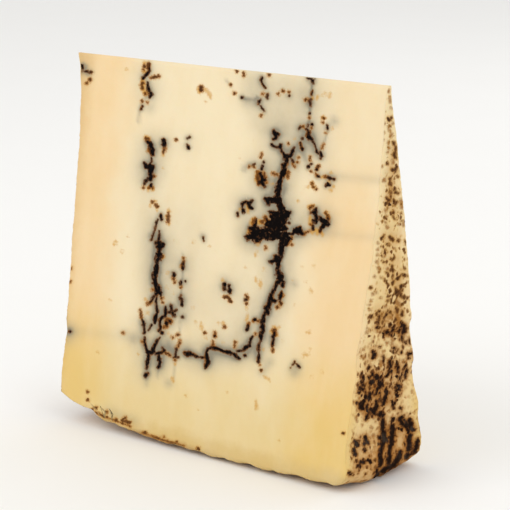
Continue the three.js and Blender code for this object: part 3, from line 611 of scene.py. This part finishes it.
class Finish:
    """A new material, with short words for the nodes that its pattern needs."""

    def __init__(self, name):
        self.material = bpy.data.materials.new(name)
        self.material.use_nodes = True
        self.tree = self.material.node_tree
        self.shader = self.tree.nodes["Principled BSDF"]
        self.at = self.node("ShaderNodeTexCoord", {}, {}, "Object")

    def node(self, kind, settings, inputs, output=0):
        return add_node(self.tree, kind, settings, inputs, output)

    def value(self, attribute):
        return self.node("ShaderNodeAttribute", {"attribute_name": attribute}, {}, "Fac")

    def axis(self, name):
        return self.node("ShaderNodeSeparateXYZ", {}, {"Vector": self.at}, name)

    def stretched(self, x, y, z):
        return self.node("ShaderNodeVectorMath", {"operation": "MULTIPLY"}, {0: self.at, 1: (x, y, z)})

    def noise(self, grain, detail=2.0, roughness=0.5, at=None):
        """Cloudy noise from 0 to 1 whose grain is a length in metres."""
        inputs = {"Vector": at or self.at, "Scale": 1 / grain, "Detail": detail, "Roughness": roughness}
        return self.node("ShaderNodeTexNoise", {"normalize": True}, inputs)

    def warped(self, reach, grain):
        """The place, moved about by reach with swirls of one grain."""
        inputs = {"Vector": self.at, "Scale": 1 / grain, "Detail": 1.0}
        swirl = self.node("ShaderNodeTexNoise", {}, inputs, "Color")
        inputs = {0: swirl, 1: (reach,) * 3, 2: self.at}
        return self.node("ShaderNodeVectorMath", {"operation": "MULTIPLY_ADD"}, inputs)

    def grains(self, cell, share, at):
        """How far a spot lies outside round grains, in metres; share is how many cells hold one."""
        inputs = {"Vector": at, "Scale": 1 / cell}
        gap = self.node("ShaderNodeTexVoronoi", {"feature": "F1"}, inputs, "Distance")
        chance = self.node("ShaderNodeSeparateColor", {}, {"Color": gap.also("Color")}, "Red")
        return (gap - (share - chance) * GRAIN_GROWTH) * cell

    def step(self, low, high, value):
        settings = {"interpolation_type": "SMOOTHSTEP"}
        return self.node("ShaderNodeMapRange", settings, {"Value": value, "From Min": low, "From Max": high})

    def mix(self, share, first, second):
        """A blend of two colours, each a colour setting or a wire."""
        first, second = (c if isinstance(c, Wire) else (*c, 1) for c in (first, second))
        return self.node("ShaderNodeMix", {"data_type": "RGBA"}, {0: share, 6: first, 7: second}, 2)

    def bump(self, height, depth, strength):
        """A normal raised by height, from 0 to 1, times depth in metres."""
        return self.node("ShaderNodeBump", {}, {"Height": height, "Distance": depth, "Strength": strength})

    def feed(self, **wires):
        """Links wires to the shader's inputs, whose names have their spaces written as underscores."""
        for name, wire in wires.items():
            self.tree.links.new(wire.socket, self.shader.inputs[name.replace("_", " ")])

    def fix(self, **values):
        """Sets constants on the shader's own inputs."""
        for name, value in values.items():
            self.shader.inputs[name.replace("_", " ")].default_value = value


def deselect_all():
    """Leaves edit mode and selects nothing."""
    if bpy.context.mode != "OBJECT":
        bpy.ops.object.mode_set(mode="OBJECT")
    bpy.ops.object.select_all(action="DESELECT")


def work_on(piece):
    """Makes one piece the selected and active one."""
    deselect_all()
    piece.select_set(True)
    bpy.context.view_layer.objects.active = piece


def apply_modifier(piece, kind, **settings):
    """Adds a modifier to the piece, sets it and applies it."""
    work_on(piece)
    bpy.ops.object.modifier_add(type=kind)
    modifier = piece.modifiers[-1]
    for name, value in settings.items():
        setattr(modifier, name, value)
    bpy.ops.object.modifier_apply(modifier=modifier.name)


def read(items, field, width):
    """Values of a mesh's items as an array with a row for each."""
    values = np.empty(len(items) * width)
    items.foreach_get(field, values)
    return values.reshape(-1, width)


def flatness(mesh):
    """How flat the surface is at each vertex: 1 on a plane, about 0.7 on a square edge."""
    facings = read(mesh.polygons, "normal", 3) * read(mesh.polygons, "area", 1)
    corners = np.zeros(len(mesh.loops), int)
    mesh.loops.foreach_get("vertex_index", corners)
    sizes = np.zeros(len(mesh.polygons), int)
    mesh.polygons.foreach_get("loop_total", sizes)
    of_corner = np.repeat(facings, sizes, axis=0)
    total = np.zeros((len(mesh.vertices), 3))
    area = np.zeros(len(mesh.vertices))
    np.add.at(total, corners, of_corner)
    np.add.at(area, corners, np.linalg.norm(of_corner, axis=1))
    return np.linalg.norm(total, axis=1) / area


def too_coarse(mesh, plain_step, reach):
    """Which faces are larger than their place wants: finer on rind and veins, finest on the shown veins."""
    centres = read(mesh.polygons, "center", 3)
    facings = read(mesh.polygons, "normal", 3)
    gap = np.minimum.reduce(vein_fields(centres, facings)[:2])
    wanted = np.full(len(centres), plain_step)
    wanted[abs(facings[:, 1]) < CUT_FACING] = plain_step / 2
    wanted[gap < reach * VEIN_SURROUNDS] = plain_step / 2
    wanted[(gap < reach) & (facings[:, 1] < 0)] = plain_step / 4
    return np.sqrt(2 * read(mesh.polygons, "area", 1)[:, 0]) > wanted


def subdivide_faces(piece, chosen):
    """Splits the chosen faces once each way."""
    work_on(piece)
    mesh = piece.data
    bpy.context.tool_settings.mesh_select_mode = (False, False, True)
    mesh.vertices.foreach_set("select", np.zeros(len(mesh.vertices), bool))
    mesh.edges.foreach_set("select", np.zeros(len(mesh.edges), bool))
    mesh.polygons.foreach_set("select", chosen)
    bpy.ops.object.mode_set(mode="EDIT")
    bpy.ops.mesh.subdivide(number_cuts=1)
    bpy.ops.mesh.select_all(action="SELECT")
    bpy.ops.mesh.quads_convert_to_tris(quad_method="BEAUTY", ngon_method="BEAUTY")
    bpy.ops.object.mode_set(mode="OBJECT")


def store(mesh, name, values):
    """Keeps a number for each vertex as an attribute that materials can read."""
    mesh.attributes.new(name, "FLOAT", "POINT").data.foreach_set("value", values.astype(np.float32))


def weigh(piece, name, weights):
    """Makes a vertex group of the vertices that have any weight."""
    group = piece.vertex_groups.new(name=name)
    for index in np.flatnonzero(weights > 0.01):
        group.add([int(index)], float(weights[index]), "REPLACE")


def relief(piece, name, grain, height, middle, group=""):
    """Moves the surface in or out by soft noise of one grain, all over or where a group has weight."""
    texture = bpy.data.textures.new(name, "CLOUDS")
    texture.noise_scale = grain
    texture.noise_depth = 2
    apply_modifier(piece, "DISPLACE", strength=height, mid_level=middle, vertex_group=group,
                   texture=texture, direction="NORMAL", texture_coords="LOCAL")


def nearest_gap(places, wanted, among):
    """Distance from each wanted vertex to the nearest one of another set, and 0 for the rest."""
    tree = KDTree(int(among.sum()))
    for index in np.flatnonzero(among):
        tree.insert(places[index], int(index))
    tree.balance()
    gaps = np.zeros(len(places))
    for index in np.flatnonzero(wanted):
        gaps[index] = tree.find(places[index])[2]
    return gaps


def vein_fields(places, facings):
    """Distances to truffle, rust and amber on the cut faces, and the nearest truffle's half width."""
    cut = abs(facings[:, 1]) > FACING
    seen = shown_twins(places, facings)[cut]
    fields = []
    for strokes in (TRUFFLE_FRONT, RUST_FRONT, AMBER_FRONT):
        gap, width = distance_to(strokes, seen)
        field = np.full(len(places), FAR)
        field[cut] = gap * PIXEL
        fields.append(np.minimum(field, FAR))
        if strokes is TRUFFLE_FRONT:
            heft = np.zeros(len(places))
            heft[cut] = width * PIXEL
    return *fields, heft


def darkness_near(strokes, spots, reach):
    """How much of the strokes' area lies within about reach of each spot, saturating at 1."""
    total = np.zeros(len(spots))
    for stroke in strokes:
        for start, end in zip(stroke, stroke[1:] or stroke):
            run = np.subtract(end[:2], start[:2])
            width = start[2] + end[2]
            area = width * (math.hypot(*run) + width)
            offset = spots - (np.array(start[:2]) + run / 2)
            total += area / reach ** 2 * np.exp(-(offset ** 2).sum(axis=1) / reach ** 2)
    return 1 - np.exp(-total)


# Greying of the paste round the truffle: how strong it is and how far it reaches
STAIN_NEAR = (0.55, 1.2 * MM)
STAIN_WIDE = (0.6, 3.8 * MM)


def stain_and_shade_field(places, facings):
    """How grey the paste is beside the veins, with the painted shade under a small chip and along creases,
    from 0 to 1.
    """
    seen = shown_twins(places, facings)
    field = np.zeros(len(places))
    for strength, reach in (STAIN_NEAR, STAIN_WIDE):
        field += strength * darkness_near(TRUFFLE_FRONT, seen, reach / PIXEL)
    for strength, reach, points in STAINS_AND_SHADE_FRONT:
        middle_line = tuple((*point, 0) for point in points)
        field += strength * np.exp(-((distance_to((middle_line,), seen)[0] / reach) ** 2))
    return np.clip(field, 0, 1)


# Loose powder: the share of the rim and of the flat faces that it covers, what the dusk round the dark spots
# and the thickest places add, and between which distances from the cut faces it begins
POWDER_RIM = 0.46
POWDER_FLAT = 0.34
POWDER_BETWEEN = 0.3
POWDER_THICK = 0.25
POWDER_EDGE = (0.4 * MM, 2.6 * MM)
# How softly the bare and the thickest places end, in pixels of the photograph
BARE_FADE = (-3, 2.5)
THICK_FADE = 3
# The dusk: how far it reaches round the dark spots, its share on the rim, and what the thickest places add
DUSK_REACH = 1.9 * MM
DUSK_RIM = 0.9
DUSK_THICK = 0.2


def rind_fields(places, facings, from_cut):
    """Share of loose powder, distances to the dark and the brown spots, and the dusk round the dark ones."""
    flat = abs(facings[:, 0]) > FACING
    seen = shown_twins(places, facings)[flat]
    powder = np.full(len(places), POWDER_RIM)
    powder[flat] = POWDER_FLAT * smoothstep(*BARE_FADE, distance_to(RIND_BARE, seen)[0])
    powder *= smoothstep(*POWDER_EDGE, from_cut)
    dark = np.full(len(places), FAR)
    brown = np.full(len(places), FAR)
    dusk = powder * DUSK_RIM
    dark[flat] = distance_to(RIND_DARK, seen)[0] * PIXEL
    brown[flat] = distance_to(RIND_BROWN, seen)[0] * PIXEL
    thick = np.exp(-((distance_to(RIND_THICK, seen)[0].clip(0) / THICK_FADE) ** 2))
    dusk[flat] = darkness_near(RIND_DARK, seen, DUSK_REACH / PIXEL)
    powder[flat] += dusk[flat] ** 2 * POWDER_BETWEEN + thick * POWDER_THICK
    dusk[flat] = np.minimum(dusk[flat] + thick * DUSK_THICK, 1)
    return powder, np.minimum(dark, FAR), np.minimum(brown, FAR), dusk


# Heights over the floor between which the finish turns from one look to the next
LOW_PASTE = (46 * MM, 8 * MM)
LOWEST_PASTE = (8.5 * MM, 3.5 * MM)
YELLOW_CORNERS = (46 * MM, 20 * MM)
BROWN_UNDERSIDE = (3.8 * MM, 2 * MM)
PALE_TOP = (72 * MM, 100 * MM)
UPPER_RIND = (40 * MM, 56 * MM)
PALE_RIND = (35 * MM, 60 * MM)
STREAKY_RIND = (26 * MM, 16 * MM)
RIM_RIND = (22 * MM, 2 * MM)
MOULDY_RIND = (50 * MM, 12 * MM)
# The same along the wheel's axis, from the wedge's middle
PEACH_BANDS = (30 * MM, 48 * MM)
RIGHT_HALF = (0, 30 * MM)
LEFT_HALF = (20 * MM, -20 * MM)
LEFT_EDGE = (-51 * MM, -60 * MM)

# Tones that only shade the colours of the settings
YELLOW_CORNER = tone("e2bc6c")
LEFT_EDGE_TAN = tone("c39a58")
PALE_STREAK = tone("f0e6cc")
WARM_STREAK = tone("dcb474")
TRUFFLE_SHADOW = tone("7c6f52")
UPPER_SKIN = tone("ebd6a6")
FLOOR_MOTTLE = tone("dcd8d0")


def wedge_material(colours):
    """Cream paste that shades to butter near the rind, truffle veins, and the speckled rind."""
    finish = Finish("truffle_cheese")
    step, mix, noise = finish.step, finish.mix, finish.noise
    x, z = finish.axis("X"), finish.axis("Z")
    broad = noise(14 * MM, 2)
    uneven = noise(3.2 * MM, 3, 0.6)
    ragged = noise(0.95 * MM, 2, 0.6)
    fine = noise(0.42 * MM, 2, 0.6)
    rag = (ragged - 0.5) * 0.8 * MM + (fine - 0.5) * 0.7 * MM
    pebbly = (noise(1.7 * MM, 2, 0.6) - 0.5) * finish.value("heft") * 2.4

    # Paste: peach bands at both ends, butter below, yellow corners, faint streaks, grey by the veins, painted
    # shade in creases and under a chip
    near_side = step(*PEACH_BANDS, x.size() + (broad - 0.5) * 14 * MM)
    near_side = near_side * (1 - step(*RIGHT_HALF, x) * step(*PALE_TOP, z + (broad - 0.5) * 20 * MM) * 0.75)
    low = step(*LOW_PASTE, z + (broad - 0.5) * 22 * MM)
    lowest = step(*LOWEST_PASTE, z + (uneven - 0.5) * 4 * MM)
    corner = near_side * step(*YELLOW_CORNERS, z)
    far_edge = step(*LEFT_EDGE, x + (uneven - 0.5) * 4 * MM)
    plain = mix(near_side, colours.cream, colours.peach)
    plain = mix(low * (0.72 + 0.28 * near_side), plain, colours.butter)
    plain = mix(corner * 0.45, plain, YELLOW_CORNER)
    plain = mix(far_edge * 0.5, plain, LEFT_EDGE_TAN)
    plain = mix(lowest, plain, colours.olive)
    plain = mix((uneven - 0.5).most(0) * 0.3, plain, colours.butter)
    drawn = noise(7 * MM, 3, 0.5, finish.stretched(1, 1, 0.4))
    plain = mix((drawn - 0.45).most(0) * 0.4, plain, PALE_STREAK)
    plain = mix((0.5 - drawn).most(0) * 0.35, plain, WARM_STREAK)
    underside = step(*BROWN_UNDERSIDE, z + (uneven - 0.5) * 3 * MM) * step(*LEFT_HALF, x)
    plain = mix(underside * 0.6, plain, colours.umber)
    # Grey stains by the veins, and painted shade under a small chip and along creases
    grey = finish.value("stain_and_shade") * (0.55 + 0.5 * uneven + 0.4 * broad)
    plain = mix(grey.least(1), plain, colours.stain_and_shade)

    # Truffle, with rusty and amber specks round it
    truffle = finish.value("truffle") + rag * 0.7 + pebbly
    rust = finish.value("rust") + rag * 1.4
    amber = finish.value("amber") + rag * 1.3
    orange = step(0.45, 0.7, noise(2.4 * MM, 2))
    paste = mix(step(1.2 * MM, 0.1 * MM, truffle) * 0.25, plain, TRUFFLE_SHADOW)
    paste = mix(step(0.6 * MM, -0.4 * MM, amber) * 0.75, paste, colours.amber)
    paste = mix(step(1.2 * MM, 0.2 * MM, rust) * 0.22, paste, colours.amber)
    paste = mix(step(0.6 * MM, 0.05 * MM, rust) * 0.8, paste, colours.fringe)
    paste = mix(step(0.25 * MM, -0.15 * MM, rust) * (0.65 + 0.35 * uneven), paste, colours.rust)
    paste = mix(step(-0.1 * MM, -0.5 * MM, rust + (orange - 0.5) * 0.3 * MM) * 0.45, paste, colours.truffle)
    paste = mix(step(0.5 * MM, 0.02 * MM, truffle) * (0.15 + 0.7 * orange), paste, colours.fringe)
    paste = mix(step(0.32 * MM, -0.08 * MM, truffle) * 0.9, paste, colours.rust)
    core = step(0.04 * MM, -0.36 * MM, truffle + (ragged - 0.5) * 0.3 * MM)
    paste = mix(core * (1 - step(0.56, 0.7, ragged) * 0.35), paste, colours.truffle)

    # Rind: a buff ground with brown spots, loose powder and heavy dark spots and streaks
    rind = step(0.35, 0.7, finish.value("rind") + (ragged - 0.5) * 0.3)
    dusk, inland = finish.value("dusk"), finish.value("inland")
    powder = finish.value("powder")
    powder = powder + (noise(8 * MM, 3, 0.55, finish.stretched(1, 1, 0.45)) - 0.5) * (powder * 1.2)
    spots = finish.warped(0.9 * MM, 1.1 * MM)
    loose = finish.grains(1.8 * MM, powder * 0.6, spots).least(finish.grains(1.25 * MM, powder * 0.9, spots))
    loose = loose + (fine - 0.5) * 0.3 * MM
    upper = step(*UPPER_RIND, z)
    streaky = step(*STREAKY_RIND, z)
    heavy = finish.value("crust") + (ragged - 0.5) * (1.5 - 0.8 * upper) * MM + (fine - 0.5) * 0.6 * MM
    heavy = heavy + (upper * 0.13 - streaky * 0.17) * MM
    gap = loose.least(heavy)
    umber = finish.value("umber") + rag
    rim = step(*RIM_RIND, z + (broad - 0.5) * 14 * MM)
    dusky = rim * 0.6 + dusk * 0.7 + (uneven - 0.5) * 0.9 + upper * 0.1
    ground = mix(dusky.least(1).most(0), colours.rind_buff, colours.rind_tan)
    ground = mix(step(0.45, 1.0, dusk) * (0.4 + 0.5 * uneven), ground, colours.umber)
    skin = mix(step(*PALE_RIND, z) * 0.6, plain, UPPER_SKIN)
    ground = mix(inland.most(dusk), skin, ground)
    coat = mix(step(0.7 * MM, -0.2 * MM, umber) * 0.85, ground, colours.umber)
    gold = mix(upper * 0.6, colours.fringe, colours.amber)
    coat = mix(step((1.2 - 0.4 * upper) * MM, 0.1 * MM, gap) * 0.65, coat, gold)
    coat = mix(step(0.45 * MM, -0.12 * MM, gap) * 0.9, coat, colours.rust)
    dark = step(0.12 * MM, -0.36 * MM, heavy.least(loose + 0.2 * MM) + upper * 0.12 * MM) * (1 - upper * 0.35)
    bloom = step(0.5, 0.7, noise(3 * MM, 2)) * step(*MOULDY_RIND, z)
    coat = mix(dark, coat, mix(bloom * 0.2, colours.powder, colours.mould))

    finish.feed(Base_Color=mix(rind, paste, coat))
    paste_gloss = 0.46 + 0.16 * uneven + core * 0.12
    finish.feed(Roughness=paste_gloss * (1 - rind) + rind * (0.66 + 0.2 * dark))
    grain = fine * 0.12 + ragged * 0.2 - core * 0.5
    crust = uneven * 0.8 + ragged * 0.5 - dark * 0.4
    height = grain * (1 - rind) + crust * rind
    finish.feed(Normal=finish.bump(height, 0.35 * MM, 0.8))
    finish.fix(
        Subsurface_Weight=0.1,
        Subsurface_Radius=(1.0, 0.55, 0.25),
        Subsurface_Scale=1 * MM,
        Specular_IOR_Level=0.06,
        IOR=1.42,
    )
    return finish.material


# How often the solid's faces are halved where they are too coarse, and how far round the veins they are fine
MESH_ROUNDS = 4
VEIN_SURROUNDS = 1.8
# How much of the smoothing reaches sharp edges, and how flat a surface gets none and all of the rest
EDGE_SOFTNESS = 0.12
SHARP_TO_FLAT = (0.8, 0.95)
# Where the rind begins, as a share of the normal, and how far from the cut faces it still has their colour
RIND_FACING = (FACING, 0.8)
PASTE_EDGE = (0, 5 * MM)
# Distances from the edge of a vein, and of a dark spot, between which the surface starts to sink
VEIN_BANK = (-0.3 * MM, 0.25 * MM)
SPOT_BANK = (-0.4 * MM, 0.5 * MM)


class CHEESE_OT_wedge(Operator):
    """Model the wedge's fine surface over its solid: veins, rind relief and finish"""

    bl_idname = "cheese.wedge"
    bl_label = "Cheese wedge"

    def execute(self, context):
        sizes = context.scene.cheese_sizes
        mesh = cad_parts[CAD_NODE].data.copy()
        mesh.materials.clear()
        piece = bpy.data.objects.new("truffle_cheese", mesh)
        context.scene.collection.objects.link(piece)
        work_on(piece)
        bpy.ops.object.mode_set(mode="EDIT")
        bpy.ops.mesh.select_all(action="SELECT")
        bpy.ops.mesh.remove_doubles(threshold=0.01 * MM)
        bpy.ops.object.mode_set(mode="OBJECT")
        mesh = piece.data
        for _ in range(MESH_ROUNDS):
            subdivide_faces(piece, too_coarse(mesh, sizes.surface_step, sizes.vein_reach))
        flat = smoothstep(*SHARP_TO_FLAT, flatness(mesh))
        weigh(piece, "soft", EDGE_SOFTNESS + (1 - EDGE_SOFTNESS) * flat)
        apply_modifier(piece, "SMOOTH", factor=0.5, iterations=5, vertex_group="soft")

        places = read(mesh.vertices, "co", 3)
        facings = read(mesh.vertex_normals, "vector", 3)
        truffle, rust, amber, heft = vein_fields(places, facings)
        rind = smoothstep(*RIND_FACING, np.maximum(abs(facings[:, 0]), -facings[:, 2]))
        from_cut = nearest_gap(places, rind > 0.5, abs(facings[:, 1]) > CUT_FACING)
        powder, crust, umber, dusk = rind_fields(places, facings, from_cut)
        attributes = {
            "truffle": truffle, "rust": rust, "amber": amber, "heft": heft,
            # The grey field holds stains by the veins and painted shade under a small chip and along creases
            "stain_and_shade": stain_and_shade_field(places, facings), "rind": rind, "powder": powder, "crust": crust,
            "umber": umber, "dusk": dusk, "inland": smoothstep(*PASTE_EDGE, from_cut),
        }
        for name, values in attributes.items():
            store(mesh, name, values)

        weigh(piece, "veins", 1 - smoothstep(*VEIN_BANK, truffle))
        weigh(piece, "rind", rind)
        weigh(piece, "powder", rind * np.maximum(powder, 1 - smoothstep(*SPOT_BANK, crust)))
        relief(piece, "truffle_bits", 1.2 * MM, -sizes.vein_depth, 0, "veins")
        relief(piece, "rind_knobs", 2.4 * MM, sizes.rind_knobs, 0.55, "rind")
        relief(piece, "rind_pits", 1.3 * MM, -sizes.rind_pits, 0, "powder")
        relief(piece, "paste_grain", 5 * MM, sizes.paste_grain, 0.5)
        keep_inside(piece)

        work_on(piece)
        bpy.ops.object.shade_smooth()
        mesh.materials.append(wedge_material(context.scene.cheese_colours))
        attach(piece, "root")
        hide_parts(CAD_NODE)
        return {"FINISHED"}


def keep_inside(piece):
    """Holds every vertex inside the solid's box, which also keeps the resting spot flat."""
    places = read(piece.data.vertices, "co", 3)
    places = np.clip(places, np.array(cad_low), np.array(cad_high))
    piece.data.vertices.foreach_set("co", places.ravel())
    piece.data.update()


def floor_material(shade):
    """A matt finish with a faint mottling."""
    finish = Finish("pale_floor")
    mottle = finish.noise(60 * MM, 3)
    finish.feed(Base_Color=finish.mix(mottle * 0.06, shade, FLOOR_MOTTLE))
    finish.feed(Roughness=0.7 + 0.1 * mottle)
    return finish.material


def area_light(name, power, side, place, aim):
    """A large soft light at a place, turned to a point."""
    turn = (Vector(aim) - Vector(place)).to_track_quat("-Z", "Y").to_euler()
    bpy.ops.object.light_add(type="AREA", location=place, rotation=turn)
    light = bpy.context.object
    light.name = name
    light.data.energy = power
    light.data.size = side


class CHEESE_OT_studio(Operator):
    """Add the pale floor, the soft lights and the camera"""

    bl_idname = "cheese.studio"
    bl_label = "Studio"

    def execute(self, context):
        studio = context.scene.cheese_studio
        deselect_all()
        bpy.ops.mesh.primitive_plane_add(size=studio.floor_side, location=(0, 0, 0))
        floor = context.object
        floor.name = "studio_floor"
        floor.data.materials.append(floor_material(studio.floor_colour))

        middle = (0, 0, cad_high.z / 2)
        area_light("key_light", studio.key_power, 0.7, (-0.35, -0.8, 0.75), middle)
        area_light("fill_light", studio.fill_power, 0.8, (0.9, -0.35, 0.45), middle)
        area_light("back_light", studio.fill_power, 0.8, (0.1, 0.9, 0.7), middle)

        world = bpy.data.worlds.new("pale_sky")
        world.use_nodes = True
        background = world.node_tree.nodes["Background"]
        background.inputs["Color"].default_value = (1, 1, 1, 1)
        background.inputs["Strength"].default_value = studio.sky
        context.scene.world = world
        context.scene.view_settings.view_transform = "Standard"

        right, up, back = front_view_axes()
        turn = Matrix((right, up, back)).transposed().to_euler()
        place = right * CAMERA_ASIDE + up * CAMERA_RAISED + back * CAMERA_DISTANCE
        bpy.ops.object.camera_add(location=place, rotation=turn)
        camera = context.object
        camera.name = "photo_camera"
        camera.data.sensor_width = SENSOR_WIDTH
        camera.data.lens = FOCAL_PIXELS / PHOTO_SIDE * SENSOR_WIDTH
        camera.data.clip_start = 10 * MM
        context.scene.camera = camera
        return {"FINISHED"}


class CHEESE_PT_panel(Panel):
    """The steps that build the cheese, with their settings"""

    bl_idname = "CHEESE_PT_panel"
    bl_label = "Truffle cheese wedge"
    bl_space_type = "VIEW_3D"
    bl_region_type = "UI"
    bl_category = "Cheese"

    def draw(self, context):
        scene = context.scene
        steps = (
            (scene.cheese_sizes, "cheese.wedge"),
            (scene.cheese_colours, None),
            (scene.cheese_studio, "cheese.studio"),
        )
        for settings, operator in steps:
            box = self.layout.box()
            for name in settings.__annotations__:
                box.prop(settings, name)
            if operator:
                box.operator(operator)


CLASSES = (CheeseSizes, CheeseColours, StudioSettings, CHEESE_OT_wedge, CHEESE_OT_studio, CHEESE_PT_panel)


def register():
    for one in CLASSES:
        bpy.utils.register_class(one)
    bpy.types.Scene.cheese_sizes = PointerProperty(type=CheeseSizes)
    bpy.types.Scene.cheese_colours = PointerProperty(type=CheeseColours)
    bpy.types.Scene.cheese_studio = PointerProperty(type=StudioSettings)


def unregister():
    del bpy.types.Scene.cheese_studio
    del bpy.types.Scene.cheese_colours
    del bpy.types.Scene.cheese_sizes
    for one in reversed(CLASSES):
        bpy.utils.unregister_class(one)


def main():
    register()
    bpy.ops.cheese.studio()
    bpy.ops.cheese.wedge()


if __name__ == "__main__":
    main()
